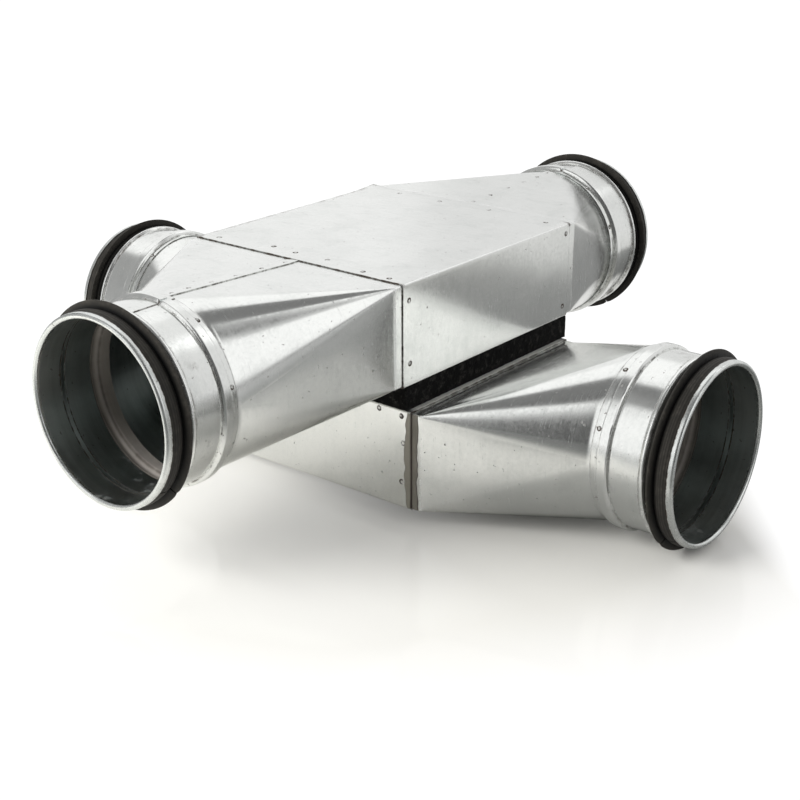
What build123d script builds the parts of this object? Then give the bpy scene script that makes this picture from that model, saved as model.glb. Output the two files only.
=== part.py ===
from build123d import *
import os
from math import cos, radians, sin

os.makedirs("parts", exist_ok=True)

# Sheet metal and fits
SHEET = 0.7
SHEET_FIT = 0.12
GASKET_FIT = 0.1

# Round collars, for a ventilation duct of this nominal bore
DUCT_BORE = 125.0
ENTRY_CLEARANCE = 0.5
RIM_R = DUCT_BORE / 2 - ENTRY_CLEARANCE
RIM_RISE = 1.8
COLLAR_R = RIM_R - RIM_RISE
COLLAR_IN_R = COLLAR_R - SHEET
BEAD_RISE = 2.6
BEAD_WIDTH = 8.0
RIDGE_WIDTH = 4.4
SEAT_DROP = 1.4
SEAT_R = COLLAR_R - SEAT_DROP
HEM_RISE = RIM_R - SEAT_R
HEM_LENGTH = 4.0

# Lip gaskets
LIP_STANDS_OUT = 4.5
LIP_R = RIM_R + LIP_STANDS_OUT
LIP_THICKNESS = 1.1
LIP_ROOT = 2.6
LIP_LEAN = 0.7
BAND_RISE = 1.3
FOOT_THICKNESS = HEM_RISE - SHEET - 2 * GASKET_FIT

# Flat casings and how they are stacked
CASING_WIDTH = 187.0
CASING_LENGTH = 194.0
CASING_HEIGHT = 71.0
BEND_R = 1.4
FOAM_THICKNESS = 16.5
AXIS_RISE = 15.0
TONGUE = 18.0
TONGUE_SHOWS = 7.0

# Stations along a duct's axis, from the middle of the crossing
CASING_END = CASING_LENGTH / 2
TRANSITION_START = CASING_END + TONGUE_SHOWS
TRANSITION_LENGTH = 109.0
NECK_START = TRANSITION_START + TRANSITION_LENGTH
NECK_SHOWS = 1.5
COLLAR_BACK = NECK_START + NECK_SHOWS
WELD_BAND = 5.0
BEAD_START = COLLAR_BACK + WELD_BAND
BEAD_END = BEAD_START + BEAD_WIDTH
NECK_SETBACK = 0.3
NECK_END = BEAD_START - NECK_SETBACK
ENTRY_LENGTH = 45.0
RIM_FRONT = BEAD_END + ENTRY_LENGTH
SEAT_LENGTH = 19.6
RIDGE_END = RIM_FRONT - SEAT_LENGTH
RIDGE_START = RIDGE_END - RIDGE_WIDTH
SEAT_START = RIDGE_END + SHEET
LIP_SETBACK = 14.9
LIP_STATION = RIM_FRONT - LIP_SETBACK

# Lap seams of the transitions
SEAM_EDGE = -4.0
SEAM_LAP = 12.0
SEAM_EMBED = 0.6

# Sealant
RING_THICKNESS = 1.0
RING_OVERHANG = 0.8
STRIP_ON_CASING = 7.0
STRIP_THICKNESS = 1.0

# Heights: the lowest gasket lips lie on the floor
LOWER_BASE = LIP_R - (CASING_HEIGHT - AXIS_RISE)
FOAM_BASE = LOWER_BASE + CASING_HEIGHT
UPPER_BASE = FOAM_BASE + FOAM_THICKNESS

DUCT_AXIS = Axis((0, 0, AXIS_RISE), (0, 1, 0))
QUADRANTS = 4


def on_section(station, radius):
    """Point of a collar's section: the plane above the duct's axis."""
    return Vector(0, station, AXIS_RISE + radius)


def on_circle(station, radius, angle_deg):
    """Point on a circle round the duct's axis."""
    turn = radians(angle_deg)
    return Vector(radius * cos(turn), station, AXIS_RISE + radius * sin(turn))


def square_to_round(inset):
    """Solid between the casing's rectangle and the neck's circle: flat triangles between cone corners."""
    half = CASING_WIDTH / 2 - SHEET - SHEET_FIT - inset
    low = SHEET + SHEET_FIT + inset
    high = CASING_HEIGHT - SHEET - SHEET_FIT - inset
    radius = COLLAR_IN_R - SHEET_FIT - inset
    signs = [(1, high), (-1, high), (-1, low), (1, low)]
    corners = [Vector(sign * half, TRANSITION_START, level) for sign, level in signs]
    centre = Vector(0, NECK_START, AXIS_RISE)
    turn = 360 / QUADRANTS
    form = Solid.make_loft([Vertex(*centre), Wire.make_polygon(corners)], True)
    for index, corner in enumerate(corners):
        start = on_circle(NECK_START, radius, turn * index)
        middle = on_circle(NECK_START, radius, turn * (index + 0.5))
        end = on_circle(NECK_START, radius, turn * (index + 1))
        edges = [Line(centre, start), ThreePointArc(start, middle, end), Line(end, centre)]
        form += Solid.make_loft([Vertex(*corner), Wire(edges)], True)
        following = corners[(index + 1) % QUADRANTS]
        form += Solid.make_loft([Vertex(*corner), Wire.make_polygon([following, end, centre])], True)
    return form


def round_bar(radius, start, end):
    """Solid cylinder along the duct's axis."""
    ring = Plane((0, start, AXIS_RISE), z_dir=(0, 1, 0)) * Circle(radius)
    return extrude(ring, end - start)


def flat_bar(inset, start, end):
    """Solid rectangular bar along the duct's axis, inset from the casing's outer faces."""
    size = (CASING_WIDTH - 2 * inset, end - start, CASING_HEIGHT - 2 * inset)
    return Pos(0, (start + end) / 2, CASING_HEIGHT / 2) * Box(*size)


def lap_seam():
    """Edge of the overlapping sheet along the transition's outer face, feathered into the sheet."""
    level = CASING_HEIGHT - SHEET - SHEET_FIT
    neck_top = AXIS_RISE + COLLAR_IN_R - SHEET_FIT
    start = CASING_END + SHEET
    run = Vector(0, COLLAR_BACK - SHEET - start, neck_top - level)
    far = SEAM_EDGE + SEAM_LAP
    outline = [
        (SEAM_EDGE, start, level - SEAM_EMBED),
        (SEAM_EDGE, start, level + SHEET),
        (far, start, level),
        (far, start, level - SEAM_EMBED),
    ]
    face = Face(Wire.make_polygon([Vector(*point) for point in outline]))
    return Solid.extrude(face, run)


def make_transition():
    neck_r = COLLAR_IN_R - SHEET_FIT
    wall = SHEET + SHEET_FIT
    outer = square_to_round(0)
    outer += flat_bar(wall, CASING_END - TONGUE, TRANSITION_START)
    outer += round_bar(neck_r, NECK_START, NECK_END)
    outer += lap_seam()
    inner = square_to_round(SHEET)
    inner += flat_bar(wall + SHEET, CASING_END - 2 * TONGUE, TRANSITION_START)
    inner += round_bar(neck_r - SHEET, NECK_START, NECK_END + TONGUE)
    return outer - inner


def make_casing():
    tube = flat_bar(0, -CASING_END, CASING_END)
    bends = tube.edges().filter_by(Axis.Y)
    tube = fillet(bends, BEND_R)
    return tube - flat_bar(SHEET, -CASING_LENGTH, CASING_LENGTH)


def make_collar():
    """Rolled sheet: stop bead, ridge, sunk seat for the gasket and a hem rolled back over its foot."""
    hem_r = HEM_RISE / 2
    hem_station = RIM_FRONT - hem_r - SHEET / 2
    mid = COLLAR_R - SHEET / 2
    sunk = SEAT_R - SHEET / 2
    bead_top = on_section((BEAD_START + BEAD_END) / 2, mid + BEAD_RISE)
    ridge_top = on_section((RIDGE_START + RIDGE_END) / 2, mid + RIM_RISE)
    bead = [on_section(BEAD_START, mid), on_section(BEAD_END, mid)]
    ridge = [on_section(RIDGE_START, mid), on_section(RIDGE_END, mid)]
    seat = on_section(SEAT_START, sunk)
    hem = [on_section(hem_station, sunk), on_section(hem_station, sunk + HEM_RISE)]
    path = [
        Line(on_section(COLLAR_BACK, mid), bead[0]),
        ThreePointArc(bead[0], bead_top, bead[1]),
        Line(bead[1], ridge[0]),
        ThreePointArc(ridge[0], ridge_top, ridge[1]),
        Line(ridge[1], seat),
        Line(seat, hem[0]),
        ThreePointArc(hem[0], on_section(hem_station + hem_r, sunk + hem_r), hem[1]),
        Line(hem[1], on_section(RIM_FRONT - HEM_LENGTH, sunk + HEM_RISE)),
    ]
    section = Face(Wire(path).offset_2d(SHEET / 2, Kind.INTERSECTION))
    return revolve(section, DUCT_AXIS, 360)


def make_gasket():
    """Foot under the hem, a low band and one tall lip."""
    low = SEAT_R + GASKET_FIT
    top = low + FOOT_THICKNESS
    toe = RIM_FRONT - HEM_RISE / 2 - SHEET
    heel = SEAT_START + SHEET / 2
    root = LIP_STATION + LIP_LEAN
    band = [on_section(RIM_FRONT - HEM_LENGTH - GASKET_FIT, top), on_section(root + LIP_ROOT / 2, top)]
    crown = (band[0] + band[1]) / 2 + Vector(0, 0, BAND_RISE)
    outline = [
        Polyline(
            band[1],
            on_section(LIP_STATION + LIP_THICKNESS / 2, LIP_R),
            on_section(LIP_STATION - LIP_THICKNESS / 2, LIP_R),
            on_section(root - LIP_ROOT / 2, top),
            on_section(heel, top),
            on_section(heel, low),
            on_section(toe, low),
            on_section(toe, top),
            band[0],
        ),
        ThreePointArc(band[0], crown, band[1]),
    ]
    return revolve(Face(Wire([edge for line in outline for edge in line.edges()])), DUCT_AXIS, 360)


def make_sealant_ring():
    """Smear of sealant in the hollow of the stop bead, against the neck's edge."""
    low = COLLAR_IN_R - SHEET_FIT
    middle = (BEAD_START + BEAD_END) / 2
    near = BEAD_START + SHEET
    far = BEAD_END - SHEET
    rise = BEAD_RISE - SHEET
    lip = on_section(NECK_END + SHEET_FIT, low - RING_OVERHANG)
    outline = [
        Line(lip, on_section(NECK_END + SHEET_FIT, low)),
        Line(on_section(NECK_END + SHEET_FIT, low), on_section(near, low)),
        ThreePointArc(on_section(near, low), on_section(middle, low + rise), on_section(far, low)),
        ThreePointArc(on_section(far, low), on_section(middle, low + rise - RING_THICKNESS), lip),
    ]
    return revolve(Face(Wire(outline)), DUCT_AXIS, 360)


def make_joint_strip():
    """Sealant smeared down the step from the casing's sheet to the bare stretch of the tongue."""
    face = CASING_WIDTH / 2
    step = face - SHEET - SHEET_FIT
    outline = [
        (face, CASING_END - STRIP_ON_CASING),
        (face, CASING_END),
        (step, CASING_END),
        (step, TRANSITION_START),
        (step + STRIP_THICKNESS / 2, TRANSITION_START),
        (step + STRIP_THICKNESS, CASING_END + TONGUE_SHOWS / 2),
        (face + STRIP_THICKNESS, CASING_END - STRIP_ON_CASING / 2),
        (face + STRIP_THICKNESS / 2, CASING_END - STRIP_ON_CASING),
    ]
    section = Face(Wire.make_polygon([Vector(-x, y, BEND_R) for x, y in outline]))
    return Solid.extrude(section, Vector(0, 0, CASING_HEIGHT - 2 * BEND_R))


UPPER = Pos(0, 0, UPPER_BASE)
LOWER = Pos(0, 0, FOAM_BASE) * Rot(180, 0, 0) * Rot(0, 0, 90)
OTHER_END = Rot(0, 0, 180)
ENDS = {
    "upper_rear": UPPER,
    "upper_front": UPPER * OTHER_END,
    "lower_left": LOWER,
    "lower_right": LOWER * OTHER_END,
}
END_PIECES = {
    "transition": make_transition(),
    "collar": make_collar(),
    "gasket": make_gasket(),
    "sealant": make_sealant_ring(),
}

for end, place in ENDS.items():
    for piece, shape in END_PIECES.items():
        export_step(place * shape, f"parts/{end}_{piece}.step")

casing = make_casing()
export_step(UPPER * casing, "parts/upper_casing.step")
export_step(LOWER * casing, "parts/lower_casing.step")
foam = Pos(0, 0, FOAM_BASE + FOAM_THICKNESS / 2) * Box(CASING_WIDTH, CASING_WIDTH, FOAM_THICKNESS)
export_step(foam, "parts/foam_pad.step")
export_step(ENDS["lower_right"] * make_joint_strip(), "parts/joint_sealant.step")
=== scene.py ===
import math

import bmesh
import bpy
from bpy.props import FloatProperty, FloatVectorProperty, PointerProperty
from bpy.types import Operator, Panel, PropertyGroup
from mathutils import Matrix, Vector, noise


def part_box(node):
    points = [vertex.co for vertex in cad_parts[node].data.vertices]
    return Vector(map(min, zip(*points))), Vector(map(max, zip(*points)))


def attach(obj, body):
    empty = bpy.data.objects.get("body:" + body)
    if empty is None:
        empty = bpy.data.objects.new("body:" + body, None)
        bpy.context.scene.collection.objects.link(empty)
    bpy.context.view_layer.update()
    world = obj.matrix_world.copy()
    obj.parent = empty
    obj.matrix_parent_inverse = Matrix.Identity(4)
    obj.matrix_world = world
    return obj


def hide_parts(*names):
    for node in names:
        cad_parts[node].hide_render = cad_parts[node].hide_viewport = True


bl_info = {
    "name": "Duct crossover fitting",
    "version": (1, 0, 0),
    "blender": (4, 5, 0),
    "location": "View3D > Sidebar > Duct",
    "description": "Dresses a sheet metal duct crossover and sets up its studio",
    "category": "Object",
}

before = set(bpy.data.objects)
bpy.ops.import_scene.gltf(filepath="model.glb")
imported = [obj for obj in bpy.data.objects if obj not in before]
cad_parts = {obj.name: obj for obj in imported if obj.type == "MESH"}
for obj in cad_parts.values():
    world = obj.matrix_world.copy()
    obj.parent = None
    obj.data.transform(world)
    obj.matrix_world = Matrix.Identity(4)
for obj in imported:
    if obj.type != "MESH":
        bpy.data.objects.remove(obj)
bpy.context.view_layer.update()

MM = 0.001
QUARTER = math.pi / 2
FULL_TURN = 2 * math.pi

# Meshing
CORNER_STEPS = 45
SIDE_STEPS = 30
CASING_CORNER_STEPS = 8
CASING_SIDE_STEPS = 28
CONE_STEPS = 48
TURN_STEPS = 150
MERGE_DISTANCE = 1e-6

# Spot welds on a casing's outer face, as x and y, and on the upper casing's front-right side, as y and height
TOP_WELDS = (
    (-0.078, -0.090),
    (-0.032, -0.083),
    (-0.010, -0.085),
    (0.019, -0.085),
    (0.055, -0.091),
    (0.078, -0.092),
    (-0.060, 0.090),
    (-0.020, 0.089),
    (0.025, 0.091),
    (0.079, 0.087),
)
SIDE_WELDS = ((-0.091, 0.059), (-0.090, 0.016), (0.092, 0.064), (0.091, 0.009))
# Spot welds on the lower casing's front-left side, as y and height
FAR_SIDE_WELDS = ((-0.0905, 0.0235), (-0.089, 0.052), (-0.089, 0.0045), (-0.070, 0.0035), (-0.052, 0.005))
# Spot welds along a transition's lap seam, as stations along the duct
SEAM_WELDS = (0.106, 0.128, 0.153, 0.174, 0.193, 0.208)
COLLAR_WELDS = 8

# Grey cards on the floor, painted shadow of the fitting that only reflections see: one to the right of it, from where
# to where to the camera's right, and one in front of it, from where towards the camera; each edge is faded
RIGHT_SHADOW_CARD = ((0.265, 0.31), (0.53, 0.61))
FRONT_SHADOW_CARD = (0.24, 0.43)
FRONT_SHADOW_CARD_SKEW = 0.1
# Where reflections see the floor behind the fitting lit, away from the camera, and how bright
REAR_GLOW = ((-0.14, -0.04), 0.5)
# Shade that reflections see along the front of the right-hand duct: from where in x and y, and how dark
NEAR_SHADE = ((0.08, 0.17), (-0.21, -0.12), 0.6)
# Where the floor fades to white: distance from its middle, in the picture and in reflections, and distance
# to the camera's right and away from it
FLOOR_FADE = (0.24, 0.42)
FLOOR_REFLECTED_FADE = (0.5, 0.75)
FLOOR_RIGHT_FADE = (0.225, 0.27)
FLOOR_REAR_FADE = (-0.1, 0.02)
# Least lift of the floor's shadows, on the left and on the right, and where it changes
SHADOW_LIFT = (0.22, 0.03)
SHADOW_LIFT_FADE = (-0.05, 0.1)

# Soft panels round the fitting: bearing to the right of straight behind it and height above the floor,
# both from and to in degrees, brightness, and half the width of the faded edge in degrees
PANELS = (
    (-30, 4, -20, 52, 0.9, 5),
    (-30, 98, -20, 52, 0.76, 6),
    (12, 58, 40, 64, 0.86, 6),
    (46, 72, 30, 52, 1.35, 5),
    (-55, 22, 33, 76, 1.05, 6),
    (104, 124, 2, 73, 1.06, 6),
    (104, 150, 2, 54, 1.06, 7),
    (-139, -99, -8, 51, 1.04, 4),
    (-99, -45, -20, 60, 0.36, 6),
    (-400, 400, 55, 120, 0.19, 6),
)
ROOM_LEVEL = 0.1

ENDS = ("upper_front", "upper_rear", "lower_left", "lower_right")
# Angle of each collar's lowest point and lap, and of each gasket's splice, in degrees round the duct
LOWEST = {"upper_front": 270.0, "upper_rear": 270.0, "lower_left": 90.0, "lower_right": 90.0}
LAP_ANGLES = {"upper_front": 99.5, "upper_rear": 84.0, "lower_left": 96.0, "lower_right": 88.0}
SPLICE_ANGLES = {"upper_front": 221.0, "upper_rear": 300.0, "lower_left": 60.0, "lower_right": 131.0}


class DuctSizes(PropertyGroup):
    """Sizes of the sheet metal and rubber that the frame's boxes don't give."""

    sheet: FloatProperty(
        name="Sheet", description="Thickness of the steel sheet", default=0.7 * MM, unit="LENGTH"
    )
    fit: FloatProperty(
        name="Fit", description="Gap between nested sheets", default=0.12 * MM, unit="LENGTH"
    )
    bend: FloatProperty(
        name="Bend", description="Outer radius of the folded edges", default=1.4 * MM, unit="LENGTH"
    )
    tongue_shows: FloatProperty(
        name="Tongue", description="Straight stretch beyond the casing", default=7 * MM, unit="LENGTH"
    )
    seam_lap: FloatProperty(
        name="Seam lap", description="Overlap along a transition", default=12 * MM, unit="LENGTH"
    )
    seam_edge: FloatProperty(
        name="Seam edge", description="Offset of the seam from the middle", default=-4 * MM, unit="LENGTH"
    )
    weld_band: FloatProperty(
        name="Weld band", description="Plain width behind the stop bead", default=5 * MM, unit="LENGTH"
    )
    bead_width: FloatProperty(
        name="Bead width", description="Width of the stop bead", default=8 * MM, unit="LENGTH"
    )
    bead_rise: FloatProperty(
        name="Bead rise", description="Height of the stop bead", default=2.6 * MM, unit="LENGTH"
    )
    neck_shows: FloatProperty(
        name="Neck", description="Bare round neck behind the collar", default=1.5 * MM, unit="LENGTH"
    )
    ridge_width: FloatProperty(
        name="Ridge width", description="Width of the ridge", default=4.4 * MM, unit="LENGTH"
    )
    rim_rise: FloatProperty(
        name="Rim rise", description="Height of ridge and hem", default=1.8 * MM, unit="LENGTH"
    )
    seat_drop: FloatProperty(
        name="Seat drop", description="Depth of the gasket's seat", default=1.4 * MM, unit="LENGTH"
    )
    seat_length: FloatProperty(
        name="Seat", description="From the ridge to the rim's front", default=19.6 * MM, unit="LENGTH"
    )
    hem_length: FloatProperty(
        name="Hem", description="Length of the rolled hem", default=4 * MM, unit="LENGTH"
    )
    hem_dull: FloatProperty(
        name="Hem dullness", description="How dull the rolled hem is", default=0.34, min=0, max=1
    )
    lip_setback: FloatProperty(
        name="Lip setback", description="From the rim's front to the lip", default=14.9 * MM, unit="LENGTH"
    )
    lip_thickness: FloatProperty(
        name="Lip", description="Thickness of the gasket's lip", default=1.1 * MM, unit="LENGTH"
    )
    lip_root: FloatProperty(
        name="Lip root", description="Thickness of the lip's root", default=2.6 * MM, unit="LENGTH"
    )
    band_rise: FloatProperty(
        name="Band rise", description="Crown of the gasket's band", default=1.3 * MM, unit="LENGTH"
    )
    oval: FloatProperty(
        name="Out of round", description="How far a collar is out of round", default=0.5 * MM, unit="LENGTH"
    )
    wave: FloatProperty(
        name="Panel wave", description="Unevenness of the flat panels", default=0.3 * MM, unit="LENGTH"
    )
    braked: FloatProperty(
        name="Braked", description="How flat the strips of a braked cone are", default=0.32, min=0, max=1
    )
    rolled: FloatProperty(
        name="Rolled", description="The same beside the foam, where it is rolled", default=0.15, min=0, max=1
    )
    crowned: FloatProperty(
        name="Crown", description="Bulge of a transition's flats", default=1.6 * MM, unit="LENGTH"
    )
    sprung: FloatProperty(
        name="Sprung", description="Bulge of the flats at the foam", default=2.2 * MM, unit="LENGTH"
    )
    corner_rise: FloatProperty(
        name="Raised corner", description="Lift of one corner of the top", default=1.6 * MM, unit="LENGTH"
    )
    weld: FloatProperty(
        name="Spot weld", description="Radius of a spot weld", default=1.9 * MM, unit="LENGTH"
    )
    strip: FloatProperty(
        name="Sealant strip", description="Sealant on the casing", default=7 * MM, unit="LENGTH"
    )
    smear: FloatProperty(
        name="Smear", description="Reach of the sealant inside the neck", default=7 * MM, unit="LENGTH"
    )
    foam_over: FloatProperty(
        name="Foam overhang", description="Foam pushed out at the rear", default=3.2 * MM, unit="LENGTH"
    )
    foam_rough: FloatProperty(
        name="Foam roughness", description="Depth of the foam's cells", default=0.9 * MM, unit="LENGTH"
    )


def colour(name, description, default):
    return FloatVectorProperty(
        name=name, description=description, default=default, subtype="COLOR", size=3, min=0, max=1
    )


class DuctColours(PropertyGroup):
    """Colours of the finishes."""

    zinc: colour("Zinc", "Bright galvanised sheet", (0.835, 0.845, 0.825))
    zinc_dull: colour("Dull zinc", "Streaks in the sheet", (0.66, 0.68, 0.66))
    # Worn zinc: rubbed bends and ridges, and also the painted highlight on one side of each spot weld
    zinc_worn_and_highlight: colour("Worn zinc", "Rubbed bends and ridges", (0.93, 0.93, 0.92))
    # Chalk colour: a pale, less metallic patch near the casing ends, and painted lightening of the transitions' base
    # flats
    pale_and_highlight: colour("Chalk", "Pale dust on the ledge under the foam", (0.78, 0.765, 0.71))
    # Inside colour: dull zinc, and painted shade inside the ducts and on the rolled hem
    inside: colour("Inside", "Dull inside of the ducts", (0.60, 0.643, 0.63))
    inside_dark: colour("Inside stain", "Stains inside the ducts", (0.32, 0.347, 0.34))
    # Stain colour also paints shade: dark lines at joints, seams, cut edges, creases and hollows
    stain_and_shade: colour("Stain", "Heat and dirt at joints", (0.06, 0.044, 0.032))
    rubber: colour("Rubber", "Gasket", (0.016, 0.0155, 0.0135))
    rubber_dust: colour("Rubber dust", "Pale dust on the gasket", (0.1, 0.09, 0.078))
    sealant: colour("Sealant", "Brown-grey sealant", (0.30, 0.285, 0.24))
    sealant_pale: colour("Pale sealant", "Sealant inside the collars", (0.37, 0.34, 0.31))
    # Dark sealant: thick or dirty sealant, and painted shade at the edges of the hollows
    sealant_dark_and_shade: colour("Dark sealant", "Thick or dirty sealant", (0.07, 0.057, 0.048))
    foam: colour("Foam", "Cellular foam", (0.004, 0.004, 0.004))
    foam_pale: colour("Foam cells", "Cut cells of the foam", (0.075, 0.072, 0.066))
    floor: colour("Floor", "Studio floor", (0.9, 0.885, 0.84))
    floor_bright: colour("Bright floor", "Studio floor in full light", (0.98, 0.965, 0.91))
    # Card colour: the painted shadow that reflections see on the floor
    shadow_card: colour("Card", "Grey cards beside the fitting", (0.17, 0.175, 0.17))
    lamp: colour("Lamp", "Light of the large lamp", (1.0, 1.0, 1.0))


class DuctStudio(PropertyGroup):
    """Camera and light."""

    azimuth: FloatProperty(
        name="Azimuth", description="Camera's side", default=math.radians(38.90), subtype="ANGLE"
    )
    elevation: FloatProperty(
        name="Elevation", description="Camera's height", default=math.radians(21.72), subtype="ANGLE"
    )
    roll: FloatProperty(
        name="Roll", description="Camera's tilt", default=math.radians(-0.12), subtype="ANGLE"
    )
    distance: FloatProperty(
        name="Distance", description="From camera to target", default=1.03473, subtype="DISTANCE"
    )
    target: FloatVectorProperty(
        name="Target",
        description="Point in the middle of the picture",
        default=(0.0423, -0.03708, 0.05926),
        subtype="TRANSLATION",
    )
    lens: FloatProperty(
        name="Lens", description="Focal length in mm on a 36 mm sensor", default=65.63, min=1
    )
    lamp_power: FloatProperty(
        name="Lamp", description="Power of the large lamp", default=27, subtype="POWER"
    )
    sky: FloatProperty(
        name="Surround", description="Brightness of the studio's walls", default=1.08, min=0
    )
    floor_size: FloatProperty(
        name="Floor", description="Width of the floor", default=16, subtype="DISTANCE"
    )


class Duct:
    """Lengths that follow from the frame's boxes and the sizes in the sidebar."""

    def __init__(self, sizes):
        self.sizes = sizes
        self.sheet = sizes.sheet
        self.wall = sizes.sheet + sizes.fit
        low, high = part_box("upper_casing")
        self.half = high.x
        self.end = high.y
        self.height = high.z - low.z
        self.base = low.z
        low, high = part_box("foam_pad")
        self.lower_base = low.z
        low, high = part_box("upper_rear_gasket")
        self.axis = (low.z + high.z) / 2 - self.base
        self.lip_r = high.x
        low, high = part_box("upper_rear_collar")
        self.back = low.y
        self.front = high.y
        self.collar_r = high.x - sizes.bead_rise
        low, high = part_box("upper_rear_transition")
        self.tongue = low.y
        self.neck_end = high.y
        self.shoulder = self.end + sizes.tongue_shows
        self.neck = self.back - sizes.neck_shows
        self.neck_r = self.collar_r - self.wall
        self.bead = self.back + sizes.weld_band
        self.bead_end = self.bead + sizes.bead_width
        self.ridge_end = self.front - sizes.seat_length
        self.ridge = self.ridge_end - sizes.ridge_width
        self.seat = self.ridge_end + sizes.sheet
        self.seat_r = self.collar_r - sizes.seat_drop
        self.hem_rise = sizes.rim_rise + sizes.seat_drop
        self.hem = self.front - self.hem_rise / 2 - sizes.sheet / 2

    def place(self, part):
        """Where a part made along +Y stands in the fitting."""
        upper = Matrix.Translation((0, 0, self.base))
        turned = Matrix.Rotation(math.pi, 4, "X") @ Matrix.Rotation(QUARTER, 4, "Z")
        lower = Matrix.Translation((0, 0, self.lower_base)) @ turned
        other_end = Matrix.Rotation(math.pi, 4, "Z")
        places = {
            "upper": upper,
            "lower": lower,
            "upper_rear": upper,
            "upper_front": upper @ other_end,
            "lower_left": lower,
            "lower_right": lower @ other_end,
        }
        return places[part]

    def on_circle(self, angle, radius, station):
        """Point round the duct's axis."""
        return Vector((radius * math.cos(angle), station, self.axis + radius * math.sin(angle)))

    def out_of_round(self, angle, station):
        """Change of a collar's radius: none at the neck, most at the rim, never outwards."""
        grown = ease(self.back, self.front, station)
        return -self.sizes.oval * grown * (0.5 - 0.5 * math.cos(2 * angle + 0.6 * math.sin(angle) + math.pi))


def ease(low, high, value):
    """0 below low, 1 above high, with an even curve between."""
    share = min(max((value - low) / (high - low), 0.0), 1.0)
    return share * share * (3 - 2 * share)


def blend(first, second, share):
    return first + (second - first) * share


def hump(distance, width):
    """Bell of height 1 about 0."""
    return math.exp(-((distance / width) ** 2))


def grain(place, scale, shift=0.0):
    """Smooth noise from -1 to 1, with features of about 1/scale metres."""
    return noise.noise(Vector(place) * scale + Vector((shift, shift * 0.7, -shift)))


class Shell:
    """Points, faces and painted marks of one piece, in the duct's own frame."""

    # Marks on each point: dirt and stains with painted shade in joints, seams, creases and hollows; rubbed wear with
    # painted highlights on the welds; inside faces; a pale patch with painted lightening on the base flats
    MARKS = ("grime_and_shade", "scuff_and_highlight", "inner", "pale_and_highlight")

    def __init__(self):
        self.points = []
        self.faces = []
        self.marks = []

    def point(self, place, grime_and_shade=0.0, scuff_and_highlight=0.0, inner=0.0, pale_and_highlight=0.0):
        self.points.append(tuple(place))
        self.marks.append((grime_and_shade, scuff_and_highlight, inner, pale_and_highlight))
        return len(self.points) - 1

    def skin(self, rows, closed=False, ring=False):
        """Quads between neighbouring rows; closed joins each row's ends, ring joins the last row to the first."""
        pairs = list(zip(rows, rows[1:]))
        if ring:
            pairs.append((rows[-1], rows[0]))
        for first, second in pairs:
            count = len(first)
            for index in range(count if closed else count - 1):
                after = (index + 1) % count
                self.faces.append((first[index], first[after], second[after], second[index]))

    def make(self, name, material, place, sharp_deg=38.0):
        """Mesh object with its marks, smooth shaded up to the sharp angle."""
        mesh = bpy.data.meshes.new(name)
        mesh.from_pydata(self.points, [], self.faces)
        for index, mark in enumerate(self.MARKS):
            layer = mesh.attributes.new(mark, "FLOAT", "POINT")
            layer.data.foreach_set("value", [marks[index] for marks in self.marks])
        form = bmesh.new()
        form.from_mesh(mesh)
        bmesh.ops.remove_doubles(form, verts=form.verts, dist=MERGE_DISTANCE)
        bmesh.ops.recalc_face_normals(form, faces=form.faces)
        form.to_mesh(mesh)
        form.free()
        mesh.shade_smooth()
        mesh.set_sharp_from_angle(angle=math.radians(sharp_deg))
        mesh.materials.append(material)
        piece = bpy.data.objects.new(name, mesh)
        bpy.context.collection.objects.link(piece)
        piece.matrix_world = place
        return piece


def stand_for(piece, node):
    """The piece shows in the place of a node of the frame."""
    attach(piece, "root")
    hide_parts(node)


def tube_ring(reach, floor, ceiling, radius, corner_steps, side_steps):
    """Section with four rounded corners: (point, outward direction, angle, share along a side or None)."""
    centres = [(reach, ceiling), (-reach, ceiling), (-reach, floor), (reach, floor)]
    ring = []
    for index, (x, z) in enumerate(centres):
        for step in range(corner_steps + 1):
            angle = QUARTER * (index + step / corner_steps)
            out = Vector((math.cos(angle), 0, math.sin(angle)))
            ring.append((Vector((x, 0, z)) + out * radius, out, angle, None))
        start = ring[-1][0]
        next_x, next_z = centres[(index + 1) % len(centres)]
        finish = Vector((next_x, 0, next_z)) + out * radius
        for step in range(1, side_steps):
            share = step / side_steps
            ring.append((start.lerp(finish, share), out, angle, share))
    return ring


# Across a spot weld: share of its radius, share of its height, heat stain turned into painted shade on one side, and
# painted highlight
WELD_PROFILE = (
    (0.0, 0.25, 0.35, 0.4),
    (0.42, 0.25, 0.45, 0.4),
    (0.62, 0.9, 0.95, 0.0),
    (0.8, 1.0, 1.0, 0.0),
    (1.0, 0.35, 0.95, 0.0),
    (1.18, -0.6, 0.7, 0.0),
)
WELD_STEPS = 14
WELD_HEIGHT = 0.16 * MM


def add_weld(shell, centre, normal, radius, turn):
    """Small ring pressed up by a spot weld, with a heat stain, painted shade on one side and a painted highlight on
    the other.
    """
    across = normal.orthogonal().normalized()
    along = normal.cross(across)
    rows = []
    for share, height, grime_and_shade, scuff_and_highlight in WELD_PROFILE:
        row = []
        for step in range(WELD_STEPS):
            angle = FULL_TURN * step / WELD_STEPS
            place = centre + (across * math.cos(angle) + along * math.sin(angle)) * radius * share
            # Painted shading of the bump: the stain is darkest on one side and a painted highlight shows on the other
            shade = 0.72 + 0.28 * math.sin(angle + turn)
            row.append(shell.point(place + normal * WELD_HEIGHT * height, grime_and_shade * shade, scuff_and_highlight * (1 - shade)))
        rows.append(row)
    shell.skin(rows, closed=True)


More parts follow.
